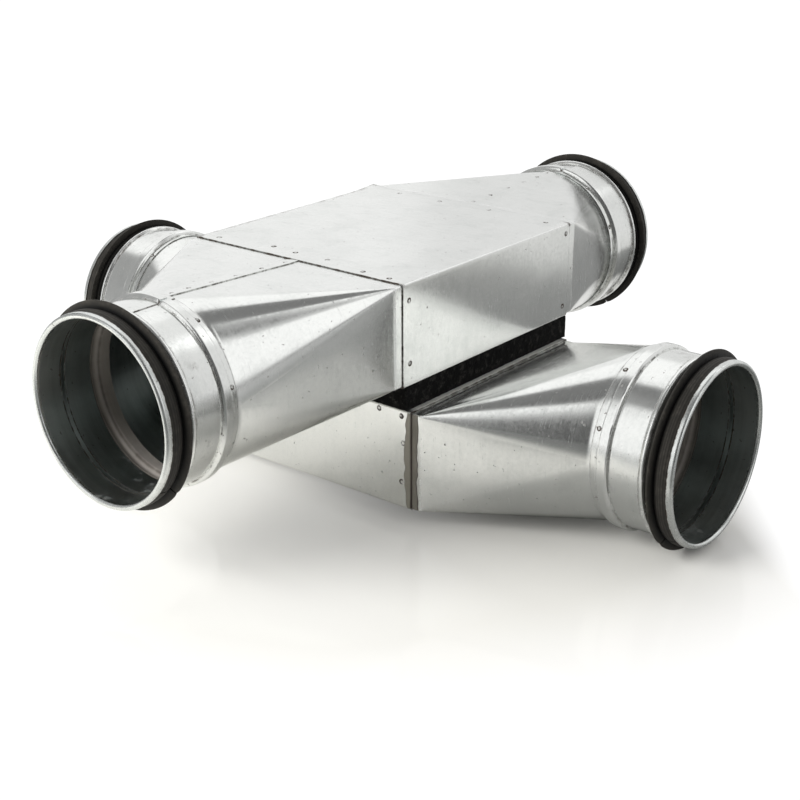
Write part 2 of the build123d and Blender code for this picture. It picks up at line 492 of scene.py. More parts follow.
def make_casing(duct, name, far_welds, material):
    """Folded tube with scuffed bends, slightly uneven panels and dark cut edges, partly painted shade of the step
    down to the tongue.
    """
    sizes = duct.sizes
    shell = Shell()
    near_edge = [duct.end - offset * MM for offset in (0, 0.35, 0.9, 2, 4, 8, 14)]
    middle = [blend(-near_edge[-1], near_edge[-1], step / 24) for step in range(1, 24)]
    stations = [-station for station in near_edge] + middle + near_edge[::-1]
    reach = duct.half - sizes.bend
    ring = tube_ring(
        reach, sizes.bend, duct.height - sizes.bend, sizes.bend, CASING_CORNER_STEPS, CASING_SIDE_STEPS
    )
    raised = Vector((-duct.half, duct.end, duct.height))
    corner_rise = 0.0 if far_welds else sizes.corner_rise
    outer = []
    inner = []
    for station in stations:
        from_end = duct.end - abs(station)
        # Dark line at the cut edge: dirt, and painted shade of the step down to the tongue
        edge = hump(from_end, 0.45 * MM)
        outer_row = []
        inner_row = []
        for point, out, angle, share in ring:
            place = point + Vector((0, station, 0))
            lift = 0.0
            scuff_and_highlight = 0.0
            pale_and_highlight = 0.0
            if share is None:
                worn = 0.3 + 0.6 * grain(place, 90) + 0.35 * grain(place, 420)
                scuff_and_highlight = min(max(worn, 0.0), 1.0)
            elif out.z > -0.5:
                calm = ease(0, 30 * MM, from_end) * math.sin(math.pi * share)
                lift = sizes.wave * calm * (grain(place, 13) + 0.5 * grain(place, 31, 3))
            else:
                # Paler and less metallic near the ends of the base side
                pale_and_highlight = 1 - ease(3 * MM, 5 * MM, from_end)
            corner = 0.0
            if share is None and from_end < 6 * MM:
                corner = 0.75 * hump(from_end, 3 * MM) * (0.5 + 0.5 * grain(place, 500))
            # On the upper casing the whole bend along the top's -x edge is darker
            if share is None and place.x < 0 and place.z > duct.height / 2 and not far_welds:
                corner += 0.3
            grime_and_shade = min(max(0.4 * edge + corner, 0.0), 1.0) * (1 - pale_and_highlight)
            place.z += corner_rise * hump((place - raised).length, 14 * MM)
            outer_row.append(shell.point(place + out * lift, grime_and_shade, scuff_and_highlight * (1 - edge), 0, pale_and_highlight))
            inner_row.append(shell.point(place + out * (lift - duct.sheet), 0.85 * edge, 0, 1))
        outer.append(outer_row)
        inner.append(inner_row)
    shell.skin(outer + inner[::-1], closed=True, ring=True)
    for index, (x, y) in enumerate(TOP_WELDS):
        add_weld(shell, Vector((x, y, duct.height)), Vector((0, 0, 1)), sizes.weld, index * 1.9)
    for index, (y, z) in enumerate(FAR_SIDE_WELDS if far_welds else SIDE_WELDS):
        add_weld(shell, Vector((duct.half, y, z)), Vector((1, 0, 0)), sizes.weld, index * 2.7)
    piece = shell.make(name + "_folded", material, duct.place(name.split("_")[0]))
    stand_for(piece, name)


# Bends of a braked cone in degrees round its corner, and how flat each strip between them is
BENDS = (0, 12, 24, 38, 52, 66, 78, 90)
FLATNESS = (0.55, 0.9, 0.7, 0.95, 0.6, 0.85, 0.7)


def facet_depth(angle, radius):
    """Depth of the flat strips of a braked cone below the round, 0 at its bends."""
    turn = math.degrees(angle % QUARTER)
    for first, last, flatness in zip(BENDS, BENDS[1:], FLATNESS):
        if turn <= last:
            half = math.radians(last - first) / 2
            offset = math.radians(turn - first) - half
            return flatness * radius * (1 - math.cos(half) / math.cos(offset))
    return 0.0


def transition_ring(duct, share):
    """Section of a transition, rectangular at share 0 and round at share 1."""
    bend = duct.sizes.bend
    reach = blend(duct.half - duct.wall - bend, 0, share)
    floor = blend(duct.wall + bend, duct.axis, share)
    ceiling = blend(duct.height - duct.wall - bend, duct.axis, share)
    return tube_ring(reach, floor, ceiling, blend(bend, duct.neck_r, share), CORNER_STEPS, SIDE_STEPS)


def crown(duct, x, station):
    """Height of a transition's outer face above the duct's base, near its middle."""
    share = min(max((station - duct.shoulder) / (duct.neck - duct.shoulder), 0.0), 1.0)
    bend = duct.sizes.bend
    reach = blend(duct.half - duct.wall - bend, 0, share)
    ceiling = blend(duct.height - duct.wall - bend, duct.axis, share)
    radius = blend(bend, duct.neck_r, share)
    beyond = max(abs(x) - reach, 0.0)
    return ceiling + math.sqrt(max(radius * radius - beyond * beyond, 0.0))


def transition_stations(duct):
    """(station, share of the turn from flat to round) along a transition."""
    tongue = [duct.tongue, duct.end - 2 * MM, duct.end - 0.2 * MM]
    shown = [duct.end + offset * MM for offset in (0.1, 0.5, 0.9, 1.6, 3, 5)]
    bend = [duct.shoulder + offset * MM for offset in (-0.7, 0)]
    flat = [(station, 0.0) for station in tongue + shown + bend]
    cone = []
    for step in range(1, CONE_STEPS + 1):
        share = step / CONE_STEPS
        cone.append((blend(duct.shoulder, duct.neck, share), share))
    neck = [(duct.back - 0.5 * MM, 1.0), (duct.back + 0.5 * MM, 1.0), (duct.neck_end, 1.0)]
    return flat + cone + neck


def add_lap_seam(shell, duct):
    """Edge of the overlapping sheet along the outer face, feathered into it, with its spot welds."""
    sizes = duct.sizes
    start = duct.end + 0.2 * MM
    finish = duct.back - 0.3 * MM
    # Across the seam: share of the lap, height in sheets and darkness; the dark line under the sheet's edge is
    # painted shade of the step, with some dirt
    profile = ((0.0, -0.3, 0.55), (0.0, 0.95, 0.2), (0.06, 1.0, 0.0), (0.5, 0.55, 0.0), (1.0, -0.08, 0.0))
    rows = []
    for step in range(61):
        station = blend(start, finish, step / 60)
        wander = 0.25 * MM * grain((0, station, 0), 60)
        row = []
        for across, height, grime_and_shade in profile:
            x = sizes.seam_edge + wander + across * sizes.seam_lap
            row.append(shell.point((x, station, crown(duct, x, station) + height * duct.sheet), grime_and_shade))
        rows.append(row)
    shell.skin(rows)
    for index, station in enumerate(SEAM_WELDS):
        x = sizes.seam_edge + (3.6 + 0.6 * math.sin(index * 2.1)) * MM
        ahead = 0.5 * MM
        slope = (crown(duct, x, station + ahead) - crown(duct, x, station - ahead)) / (2 * ahead)
        normal = Vector((0, -slope, 1)).normalized()
        height = crown(duct, x, station) + 0.62 * duct.sheet
        add_weld(shell, Vector((x, station, height)), normal, sizes.weld * 0.9, index * 1.7)


def make_transition(duct, end, material):
    """Square-to-round piece: flat triangles between braked cone corners, with tongue, neck and lap seam."""
    sizes = duct.sizes
    seed = ENDS.index(end) * 5.3
    shell = Shell()
    outer = []
    inner = []
    for station, share in transition_stations(duct):
        # Painted shade: a dark line on the tongue just beyond the casing's edge, partly dirt, and a painted shadow at
        # the collar's back edge over the neck
        joint = hump(station - duct.end, 0.6 * MM) if station > duct.end else 0.0
        bend = hump(station - duct.shoulder, 0.6 * MM) if share < 0.5 else 0.0
        neck = hump(station - duct.back, 0.9 * MM) if share > 0.5 else 0.0
        formed = math.sin(math.pi * share)
        slack = 6.75 * share * (1 - share) ** 2
        outer_row = []
        inner_row = []
        for point, out, angle, along in transition_ring(duct, share):
            place = point + Vector((0, station, 0))
            uneven = grain(place, 17, seed) + 0.5 * grain(place, 40, seed)
            pale_and_highlight = 0.0
            if along is None:
                round_r = blend(sizes.bend, duct.neck_r, share)
                braked = facet_depth(angle, round_r) * (1 - ease(0.82, 1.0, share))
                braked *= sizes.braked if angle < math.pi else sizes.rolled
                lift = formed * 0.3 * sizes.wave * uneven - braked
            else:
                at_base = out.z < -0.5
                at_seam = out.z > 0.5
                lift = slack * sizes.wave * math.sin(math.pi * along) * (0.4 + uneven) * (0.2 if at_seam else 1.0)
                crest = 1 - (2 * along - 1) ** 6
                lift += slack * sizes.crowned * crest * (1.3 if at_base else 0.0 if at_seam else 0.1)
                if at_base:
                    sprung = ease(duct.end, duct.shoulder, station) * (1 - ease(0.0, 0.4, share))
                    lift += sizes.sprung * sprung * math.sin(math.pi * along) ** 0.5
                    # Painted lightening of the base-side flats
                    pale_and_highlight = 0.12
            worn = 0.0
            if along is None and share < 0.25:
                worn = (1 - share * 4) * (0.35 + 0.6 * grain(place, 160, seed))
            corner = 0.0
            if along is None and share == 0:
                corner = hump(station - duct.end, 3.5 * MM) * (0.45 + 0.5 * grain(place, 450, seed))
            grime_and_shade = min(max(0.42 * joint + 0.6 * neck + corner, 0.0), 1.0)
            scuff_and_highlight = min(max(0.7 * bend + worn, 0.0), 1.0) * (1 - grime_and_shade)
            outer_row.append(shell.point(place + out * lift, grime_and_shade, scuff_and_highlight, 0, pale_and_highlight))
            inner_row.append(shell.point(place + out * (lift - duct.sheet), 0, 0, 1))
        outer.append(outer_row)
        inner.append(inner_row)
    shell.skin(outer + inner[::-1], closed=True, ring=True)
    add_lap_seam(shell, duct)
    piece = shell.make(end + "_square_to_round", material, duct.place(end), sharp_deg=50.0)
    stand_for(piece, end + "_transition")


HEM_TURN = 12
HEM_FLAT = (0.4, 0.8, 0.93, 1.0)
HEM_POINTS = HEM_TURN + len(HEM_FLAT)


def collar_path(duct):
    """(station, radius, scuff) along the middle of the rolled sheet, from its back edge to the hem's edge."""
    sizes = duct.sizes
    middle = duct.collar_r - duct.sheet / 2
    sunk = duct.seat_r - duct.sheet / 2
    hem_r = duct.hem_rise / 2
    stations = [duct.back, duct.back + 0.4 * MM, duct.back + 2.5 * MM]
    stations += [blend(duct.bead - 0.8 * MM, duct.bead_end + 0.8 * MM, step / 24) for step in range(25)]
    stations += [blend(duct.bead_end + 2 * MM, duct.ridge - 2 * MM, step / 6) for step in range(7)]
    stations += [blend(duct.ridge - 0.8 * MM, duct.seat + 0.4 * MM, step / 18) for step in range(19)]
    stations += [blend(duct.seat + 1.5 * MM, duct.hem, step / 6) for step in range(7)]
    path = []
    for station in stations:
        shoulder = 1.2 * MM
        rise = ease(duct.bead - 0.5 * MM, duct.bead + shoulder, station)
        rise *= 1 - ease(duct.bead_end - shoulder, duct.bead_end + 0.5 * MM, station)
        peak = (duct.ridge + duct.ridge_end) / 2
        ridge = ease(duct.ridge - 0.4 * MM, peak - 0.4 * MM, station)
        ridge *= 1 - ease(peak + 0.4 * MM, duct.ridge_end + 0.4 * MM, station)
        lines = hump(station - duct.bead - shoulder, 0.5 * MM)
        lines += hump(station - duct.bead_end + shoulder, 0.5 * MM)
        drop = sizes.seat_drop * ease(duct.ridge_end - 0.3 * MM, duct.seat + 0.1 * MM, station)
        radius = middle + sizes.bead_rise * rise + sizes.rim_rise * ridge - drop
        path.append((station, radius, 0.55 * lines + 0.7 * ridge))
    for step in range(1, HEM_TURN + 1):
        turn = math.pi * step / HEM_TURN
        path.append((duct.hem + hem_r * math.sin(turn), sunk + hem_r * (1 - math.cos(turn)), 0.2))
    edge = duct.front - sizes.hem_length
    for share in HEM_FLAT:
        path.append((blend(duct.hem, edge, share), sunk + duct.hem_rise, 0.1))
    return path


def collar_lining(duct):
    """(station, radius, darkening) along a collar's inside: hollow of the bead, then narrower behind the seat, with
    darker lines at the ridge's two steps.
    """
    sizes = duct.sizes
    wall = duct.collar_r - duct.sheet
    shoulder = 1.6 * MM
    edge = 0.35 * MM
    near = [offset * MM for offset in (-1.2, -0.7, -0.45, -0.2, 0.0, 0.2, 0.45, 0.7, 1.2)]
    stations = [duct.back, duct.back + 2.5 * MM]
    stations += [blend(duct.bead - 0.8 * MM, duct.bead_end + 0.8 * MM, step / 24) for step in range(25)]
    stations += [blend(duct.bead_end + 2 * MM, duct.ridge - 2 * MM, step / 6) for step in range(7)]
    stations += [duct.ridge + offset for offset in near]
    stations += [duct.ridge_end + offset for offset in near]
    stations += [blend(duct.seat + 1.5 * MM, duct.hem, step / 8) for step in range(9)]
    lining = []
    for station in stations:
        rise = ease(duct.bead - 0.5 * MM, duct.bead + shoulder, station)
        rise *= 1 - ease(duct.bead_end - shoulder, duct.bead_end + 0.5 * MM, station)
        drop = sizes.seat_drop * ease(duct.ridge - edge, duct.seat + edge, station)
        lines = 0.75 * hump(station - duct.ridge, 0.45 * MM) + 0.85 * hump(station - duct.ridge_end, 0.55 * MM)
        radius = wall + sizes.bead_rise * rise - drop
        lining.append((station, radius, lines))
    return lining


def both_sides(path, thickness):
    """Outer and inner (station, radius, mark) of a sheet about its middle path."""
    outer = []
    inner = []
    for index, (station, radius, mark) in enumerate(path):
        before = path[max(index - 1, 0)]
        after = path[min(index + 1, len(path) - 1)]
        run = Vector((after[0] - before[0], after[1] - before[1])).normalized()
        side = Vector((-run.y, run.x)) * thickness / 2
        outer.append((station + side.x, radius + side.y, mark))
        inner.append((station - side.x, radius - side.y, mark))
    return outer, inner


def turn_angles(special, spread_deg=3.0, extra=14):
    """Angles round the duct, closer together on both sides of a special angle."""
    angles = [FULL_TURN * step / TURN_STEPS for step in range(TURN_STEPS)]
    spread = math.radians(spread_deg)
    angles = [angle for angle in angles if abs(angle - special) > spread]
    angles += [special + spread * (2 * step / extra - 1) for step in range(extra + 1)]
    return sorted(angles)


def make_collar(duct, end, material):
    """Rolled collar: welded lap, stop bead, ridge, gasket seat and rolled hem, a little out of round."""
    sizes = duct.sizes
    lap = math.radians(LAP_ANGLES[end])
    lap_width = 13 * MM / duct.collar_r
    lowest = math.radians(LOWEST[end])
    seed = ENDS.index(end) * 3.1
    outer, inner = both_sides(collar_path(duct), duct.sheet)
    lining = collar_lining(duct)
    shell = Shell()
    rows = []
    for angle in turn_angles(lap):
        from_lap = (angle - lap) * duct.collar_r
        over = 1 - (lap - angle) / lap_width if 0 <= lap - angle <= lap_width else 0.0
        row = []
        for station, radius, mark in outer:
            on_bead = duct.bead - 0.6 * MM < station < duct.bead_end + 0.6 * MM
            plain = ease(duct.bead_end, duct.bead_end + 1 * MM, station)
            plain *= 1 - ease(duct.ridge - 1.5 * MM, duct.ridge, station)
            back = 1 - ease(duct.bead - 1.2 * MM, duct.bead, station)
            place = duct.on_circle(angle, radius, station)
            dent = 0.10 * MM * (grain(place, 45, seed) + 0.6 * grain(place, 110, seed))
            dent *= ease(duct.back, duct.back + 3 * MM, station) * (1 - ease(duct.ridge, duct.ridge_end, station))
            lift = over * 0.8 * duct.sheet * max(plain, back) + dent
            # Painted shadow under the edge of the overlapping sheet at the lap
            grime_and_shade = 0.95 * hump(from_lap - 0.3 * MM, 0.45 * MM) * max(plain, back)
            # Painted shade in the creases at the feet of the stop bead, and at the ridge's foot painted shade with
            # dirt
            foot = hump(station - duct.bead + 0.4 * MM, 0.4 * MM) + hump(station - duct.bead_end - 0.4 * MM, 0.4 * MM)
            foot += 1.1 * hump(station - duct.ridge, 1.1 * MM)
            smudge = ease(0.0, 0.7, grain(place, 40, seed) + 0.6 * grain(place, 170, seed))
            grime_and_shade = max(grime_and_shade, 0.5 * foot * (0.7 + 0.4 * grain(place, 90, seed)), 0.2 * smudge * plain)
            if on_bead:
                lift -= 1.5 * MM * hump(from_lap, 0.9 * MM) * max(radius - duct.collar_r, 0) / sizes.bead_rise
                # Painted shade, with dirt, in the bead's notch at the lap
                grime_and_shade = max(grime_and_shade, 0.75 * hump(from_lap, 0.8 * MM))
            # Painted shadow along the collar's back edge
            if station < duct.back + 0.2 * MM:
                grime_and_shade = 0.5
            if station > duct.front - sizes.hem_length:
                grime_and_shade = 0.55 * hump(from_lap + 4 * MM, 0.45 * MM)
            worn = min(max(mark * (0.7 + 0.6 * grain(place, 120, seed)), 0.0), 1.0)
            total = radius + lift + duct.out_of_round(angle, station)
            row.append(shell.point(duct.on_circle(angle, total, station), grime_and_shade, worn * (1 - grime_and_shade)))
        for station, radius, mark in reversed(inner[-HEM_POINTS:]):
            total = radius + duct.out_of_round(angle, station)
            place = duct.on_circle(angle, total, station)
            cut = 0.7 * hump(station - duct.front + sizes.hem_length, 0.5 * MM)
            # Hem dullness: rougher, and darkened with the inside colour as painted shade
            dull = min(max(sizes.hem_dull * (1 + 0.7 * grain(place, 150, seed)), 0.0), 1.0)
            row.append(shell.point(place, cut, mark * (1 - cut), dull))
        for station, radius, line in reversed(lining):
            total = radius + duct.out_of_round(angle, station)
            inside = 1 - ease(duct.front - 3.2 * MM, duct.front - 1.4 * MM, station)
            place = duct.on_circle(angle, total, station)
            low_side = hump(angle - lowest, 0.55) * ease(-0.05, 0.5, grain(place, 70, seed) + 0.5 * grain(place, 260, seed))
            row.append(shell.point(place, max(line, 0.35 * low_side), 0, inside))
        rows.append(row)
    shell.skin(rows, closed=True, ring=True)
    for index in range(COLLAR_WELDS):
        angle = lap + FULL_TURN * (index + 0.5 + 0.12 * math.sin(index * 3.3)) / COLLAR_WELDS
        centre = duct.on_circle(angle, duct.collar_r, duct.back + 2.6 * MM)
        add_weld(shell, centre, Vector((math.cos(angle), 0, math.sin(angle))), sizes.weld * 0.85, index * 2.2)
    piece = shell.make(end + "_rolled_collar", material, duct.place(end))
    stand_for(piece, end + "_collar")


def gasket_section(duct):
    """(station, radius, painted shade) round a lip gasket: foot under the hem, ribbed band, one tall lip; shaded at
    its back beside the ridge, round the lip's root and between the ribs.
    """
    sizes = duct.sizes
    clear = 0.1 * MM
    low = duct.seat_r + clear
    top = duct.seat_r + duct.hem_rise - duct.sheet - clear
    lip = duct.front - sizes.lip_setback
    root = lip + sizes.lip_root * 0.27
    heel = duct.seat + duct.sheet / 2
    toe = duct.hem - duct.sheet / 2
    band_front = duct.front - sizes.hem_length - clear
    band_back = root + sizes.lip_root / 2
    half_tip = sizes.lip_thickness / 2
    section = [(heel, low, 0), (heel, top, 0.6), (root - sizes.lip_root / 2, top, 0.9)]
    for share in (0.25, 0.5, 0.75, 0.92):
        thin = blend(sizes.lip_root / 2, half_tip, share)
        section.append((blend(root, lip, share) - thin, blend(top, duct.lip_r, share), 0.3 * (1 - share)))
    tip = duct.lip_r - half_tip * 0.7
    for step in range(7):
        turn = math.pi * step / 6
        section.append((lip - half_tip * math.cos(turn), tip + half_tip * 0.7 * math.sin(turn), 0))
    for share in (0.92, 0.75, 0.5, 0.25, 0.08):
        thin = blend(sizes.lip_root / 2, half_tip, share)
        section.append((blend(root, lip, share) + thin, blend(top, duct.lip_r, share), 1.2 * hump(share, 0.45)))
    ribs = 5
    steps = ribs * 8
    for step in range(steps + 1):
        share = step / steps
        rib = math.sin(share * math.pi * ribs) ** 2
        crown_rise = sizes.band_rise * (1 - (2 * share - 1) ** 2)
        height = top + crown_rise - 0.16 * MM * (1 - rib) * ease(0, 0.1, share)
        shade = max(hump(share, 0.2), 0.35 * (1 - rib))
        section.append((blend(band_back, band_front, share), height, shade))
    section += [(toe, top, 0), (toe, low, 0)]
    return section


def make_gasket(duct, end, material):
    """Rubber lip gasket, cut from a length and butted at its splice."""
    splice = math.radians(SPLICE_ANGLES[end])
    gap = 0.6 * MM / duct.collar_r
    section = gasket_section(duct)
    seed = ENDS.index(end) * 7.7
    shell = Shell()
    rows = []
    for step in range(TURN_STEPS + 1):
        angle = splice + gap + (FULL_TURN - 2 * gap) * step / TURN_STEPS
        near_cut = hump(min(angle - splice, FULL_TURN + splice - angle) * duct.collar_r, 2 * MM)
        row = []
        for station, radius, grime_and_shade in section:
            height = (radius - duct.collar_r) / (duct.lip_r - duct.collar_r)
            wave = 0.22 * MM * height * grain((math.cos(angle), math.sin(angle), seed), 3.1)
            drop = 0.6 * MM * height * height * near_cut
            total = radius - drop + duct.out_of_round(angle, station) * 0.9
            row.append(shell.point(duct.on_circle(angle, total, station + wave), grime_and_shade))
        rows.append(row)
    shell.skin(rows, closed=True)
    shell.faces.append(tuple(rows[0]))
    shell.faces.append(tuple(reversed(rows[-1])))
    piece = shell.make(end + "_lip_gasket", material, duct.place(end), sharp_deg=55.0)
    stand_for(piece, end + "_gasket")


def along_knots(knots, station):
    """Radius at a station, eased between (station, radius) knots."""
    for (first, low), (second, high) in zip(knots, knots[1:]):
        if station <= second:
            return blend(low, high, ease(first, second, station))
    return knots[-1][1]


def make_sealant_ring(duct, end, material):
    """Smear of sealant, hand laid over the neck's edge and into the hollow of the stop bead."""
    sizes = duct.sizes
    neck_wall = duct.neck_r - duct.sheet
    collar_wall = duct.collar_r - duct.sheet
    start = duct.neck_end - sizes.smear
    near = duct.bead + duct.sheet
    far = duct.bead_end - duct.sheet
    middle = (near + far) / 2
    last = duct.bead_end + 0.8 * MM
    rise = sizes.bead_rise - duct.sheet
    buried = 0.05 * MM
    knots = [
        (start, neck_wall - 0.06 * MM),
        (duct.neck_end - 2 * MM, neck_wall - 0.45 * MM),
        (duct.neck_end + 0.5 * MM, neck_wall - 0.65 * MM),
        (middle + 0.8 * MM, collar_wall + 0.3 * rise),
        (last, collar_wall - 0.04 * MM),
    ]
    seed = ENDS.index(end) * 4.9
    shell = Shell()
    rows = []
    for step in range(TURN_STEPS):
        angle = FULL_TURN * step / TURN_STEPS
        ripple = grain((math.cos(angle), math.sin(angle), seed), 4.0)
        fine = grain((math.cos(angle), math.sin(angle), seed), 17.0)
        uneven = 0.5 + 0.4 * ripple + 0.35 * fine
        outline = [(start, neck_wall + buried, 0.4), (duct.neck_end, neck_wall + buried, 0.4)]
        outline.append((duct.neck_end + sizes.fit, duct.neck_r, 0.4))
        for index in range(7):
            share = index / 6
            outline.append((blend(near, far, share), duct.neck_r + rise * (1 - (2 * share - 1) ** 2), 0.4))
        outline.append((last, collar_wall + buried, 0.4))
        for index in range(25):
            station = blend(last, start, index / 24)
            inset = math.sin(math.pi * index / 24)
            sag = 0.22 * MM * inset * (ripple + 0.7 * fine)
            shade = 0.85 * hump(station - duct.bead_end, 1.2 * MM) + 0.55 * hump(station - duct.neck_end - 2 * MM, 1 * MM)
            outline.append((station, along_knots(knots, station) - sag, min(0.35 * uneven + shade, 1.0)))
        row = []
        for station, radius, grime_and_shade in outline:
            total = radius + duct.out_of_round(angle, station)
            row.append(shell.point(duct.on_circle(angle, total, station), max(grime_and_shade, 0.0), 0, 1))
        rows.append(row)
    shell.skin(rows, closed=True, ring=True)
    piece = shell.make(end + "_sealant_ring", material, duct.place(end), sharp_deg=60.0)
    stand_for(piece, end + "_sealant")


def make_joint_strip(duct, material):
    """Two hand-laid passes of sealant down an upright joint, with painted shade in the slit between them and along
    their edges.
    """
    sizes = duct.sizes
    face = duct.half
    step_in = face - duct.wall
    shell = Shell()
    rows = []
    count = 90
    for step in range(count + 1):
        height = blend(sizes.bend, duct.height - sizes.bend, step / count)
        wander = grain((0, 0, height), 45) + 0.5 * grain((2, 0, height), 160)
        middle = math.sin(math.pi * step / count)
        first = duct.end - sizes.strip * (0.52 + 0.3 * middle + 0.34 * wander)
        wander = grain((5, 0, height), 50) + 0.4 * grain((7, 0, height), 170)
        last = duct.shoulder - sizes.tongue_shows * (0.26 + 0.34 * wander)
        full = 0.8 * MM * (1 + 0.3 * grain((9, 0, height), 120))
        outline = [(first, face, 0.9)]
        for index in range(1, 8):
            share = index / 8
            bulge = full * math.sin(math.pi * share) ** 0.6
            bulge += 0.1 * MM * grain((share, 3, height), 900)
            outline.append((blend(first, duct.end, share), face + bulge, 0.1 + 0.3 * hump(share - 1, 0.2)))
        outline.append((duct.end, face + 0.05 * MM, 1.0))
        outline.append((duct.end + 0.3 * MM, step_in + 0.1 * MM, 1.0))
        for index in range(1, 8):
            share = index / 8
            bulge = full * math.sin(math.pi * share) ** 0.6
            bulge += 0.1 * MM * grain((share, 7, height), 900)
            outline.append((blend(duct.end + 0.3 * MM, last, share), step_in + bulge, 0.5))
        outline.append((last, step_in, 1.0))
        outline.append((duct.end, step_in, 0.7))
        outline.append((duct.end, face, 0.7))
        row = []
        for station, out, grime_and_shade in outline:
            row.append(shell.point((-out, station, height), grime_and_shade))
        rows.append(row)
    shell.skin(rows, closed=True)
    shell.faces.append(tuple(rows[0]))
    shell.faces.append(tuple(reversed(rows[-1])))
    piece = shell.make("joint_sealant_strip", material, duct.place("lower_right"), sharp_deg=60.0)
    stand_for(piece, "joint_sealant")


def make_foam(duct, material):
    """Block of cellular foam with rough sawn sides."""
    sizes = duct.sizes
    low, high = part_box("foam_pad")
    high.y += sizes.foam_over
    shell = Shell()
    rows = []
    per_side = 170
    layers = 16
    corners = [(low.x, low.y), (high.x, low.y), (high.x, high.y), (low.x, high.y)]
    outs = [(0, -1), (1, 0), (0, 1), (-1, 0)]
    for layer in range(layers + 1):
        height = blend(low.z, high.z, layer / layers)
        row = []
        for index, (x, y) in enumerate(corners):
            next_x, next_y = corners[(index + 1) % len(corners)]
            for step in range(per_side):
                share = step / per_side
                place = Vector((blend(x, next_x, share), blend(y, next_y, share), height))
                pits = 0.55 * grain(place, 330) + 0.45 * grain(place, 900, 2)
                depth = sizes.foam_rough * min(max(0.45 + 0.75 * pits, 0.0), 1.0)
                inward = Vector((-outs[index][0], -outs[index][1], 0)) * depth
                row.append(shell.point(place + inward, min(depth / sizes.foam_rough, 1.0)))
        rows.append(row)
    shell.skin(rows, closed=True)
    shell.faces.append(tuple(reversed(rows[0])))
    shell.faces.append(tuple(rows[-1]))
    piece = shell.make("foam_block", material, Matrix.Identity(4), sharp_deg=75.0)
    stand_for(piece, "foam_pad")


class Wire:
    """A socket that takes part in Python arithmetic: each sum adds a Math node."""

    def __init__(self, paint, socket):
        self.paint = paint
        self.socket = socket

    def math(self, operation, first, second):
        return self.paint.node("ShaderNodeMath", {"operation": operation}, {0: first, 1: second})

    def __add__(self, other):
        return self.math("ADD", self, other)

    def __radd__(self, other):
        return self.math("ADD", other, self)

    def __sub__(self, other):
        return self.math("SUBTRACT", self, other)

    def __rsub__(self, other):
        return self.math("SUBTRACT", other, self)

    def __mul__(self, other):
        return self.math("MULTIPLY", self, other)

    def __rmul__(self, other):
        return self.math("MULTIPLY", other, self)

    def __truediv__(self, other):
        return self.math("DIVIDE", self, other)

    def __pow__(self, other):
        return self.math("POWER", self, other)


class Paint:
    """Node tree of one finish."""

    def __init__(self, tree):
        self.tree = tree
        self.tree.nodes.clear()

    def node(self, kind, settings=None, sockets=None, output=0):
        """Adds a node, sets its settings, then fills or links its sockets; gives one output."""
        made = self.tree.nodes.new(kind)
        for name, value in (settings or {}).items():
            setattr(made, name, value)
        for name, value in (sockets or {}).items():
            if isinstance(value, Wire):
                self.tree.links.new(value.socket, made.inputs[name])
            else:
                made.inputs[name].default_value = value
        if len(made.outputs) == 0:
            return None
        return Wire(self, made.outputs[output])

    def place(self):
        return self.node("ShaderNodeTexCoord", output="Object")

    def mark(self, name):
        return self.node("ShaderNodeAttribute", {"attribute_name": name}, output="Fac")

    def stretched(self, vector, scale):
        return self.node("ShaderNodeVectorMath", {"operation": "MULTIPLY"}, {0: vector, 1: scale})

    def cloud(self, vector, scale, detail=2.0, roughness=0.5):
        """Noise from 0 to 1 with features of 1/scale metres along each axis."""
        sockets = {"Vector": self.stretched(vector, scale), "Scale": 1.0, "Detail": detail, "Roughness": roughness}
        return self.node("ShaderNodeTexNoise", {}, sockets)

    def between(self, value, low, high, first=0.0, second=1.0):
        """Smooth step of a value from one level to another."""
        sockets = {0: value, 1: low, 2: high, 3: first, 4: second}
        return self.node("ShaderNodeMapRange", {"interpolation_type": "SMOOTHSTEP"}, sockets)

    def mix(self, share, first, second):
        """Mix of two colours."""
        settings = {"data_type": "RGBA", "clamp_factor": True}
        return self.node("ShaderNodeMix", settings, {0: share, 6: first, 7: second}, output=2)

    def dot(self, first, second):
        settings = {"operation": "DOT_PRODUCT"}
        return self.node("ShaderNodeVectorMath", settings, {0: first, 1: second}, output="Value")

    def brighter(self, first, second):
        return self.node("ShaderNodeMath", {"operation": "MAXIMUM"}, {0: first, 1: second})

    def bump(self, height, strength, distance):
        sockets = {"Strength": strength, "Distance": distance, "Height": height}
        return self.node("ShaderNodeBump", {}, sockets)

    def surface(self, sockets):
        shader = self.node("ShaderNodeBsdfPrincipled", {}, sockets)
        self.node("ShaderNodeOutputMaterial", {}, {"Surface": shader})


def rgba(colour):
    return (*colour, 1.0)


def new_paint(name):
    material = bpy.data.materials.get(name) or bpy.data.materials.new(name)
    material.use_nodes = True
    return material, Paint(material.node_tree)


